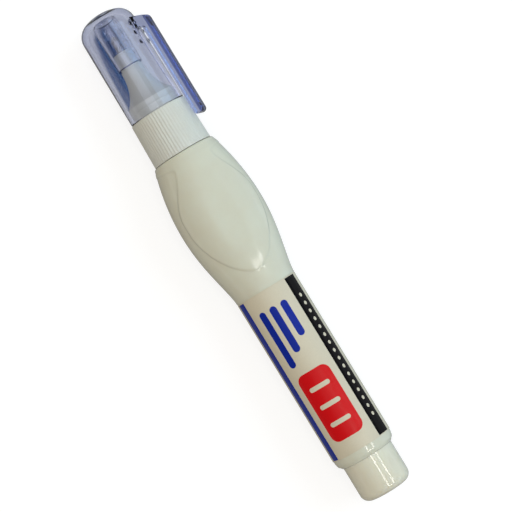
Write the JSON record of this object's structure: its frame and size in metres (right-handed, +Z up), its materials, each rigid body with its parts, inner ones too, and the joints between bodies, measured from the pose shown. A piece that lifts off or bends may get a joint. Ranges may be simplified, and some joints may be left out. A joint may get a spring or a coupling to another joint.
{
  "type": "correction pen",
  "caption": "Squeeze correction pen with an oval belly, ribbed nozzle collar, sprung metal tip, film label, tail plug and a clear tinted pull-off cap with a pocket clip.",
  "frame": {"origin": "on the surface that the pen lies on, under the middle of its length, below its axis", "axes": "+X along the pen's axis from the tail plug to the cap's dome, +Y away from the clip, +Z up out of the upper thumb pad"},
  "size_m": [0.14, 0.0228, 0.0183],
  "materials": {
    "tinted_clear": "polished clear moulding",
    "white_moulding": "satin moulding",
    "stainless": "drawn and ground",
    "bottle_white": "soft satin polyethylene",
    "printed_film": "gloss printed film",
    "natural_plug": "satin natural polyethylene",
    "bright_steel": "polished"
  },
  "bodies": {
    "pen": {"body": "bottle_white", "label": "printed_film", "tail_plug": "natural_plug", "nozzle": "white_moulding", "tip_tube": "stainless", "spring_retainer": "white_moulding", "valve_spring": "stainless"},
    "cap": {"cap": "tinted_clear"},
    "needle": {"valve_pin": "stainless"},
    "ball": {"mixing_ball": "bright_steel"}
  },
  "joints": [
    {"name": "cap_pull", "type": "slide", "parent": "pen", "child": "cap", "axis": [1, 0, 0], "range_m": [0, 0.04]},
    {"name": "needle_press", "type": "slide", "parent": "pen", "child": "needle", "axis": [-1, 0, 0], "range_m": [0, 0.0004], "stiffness_N_per_m": 300, "springref_m": -0.0006, "deforming": ["valve_spring"]},
    {"name": "ball_roll", "type": "slide", "parent": "pen", "child": "ball", "axis": [1, 0, 0], "range_m": [-0.004, 0.07]}
  ]
}
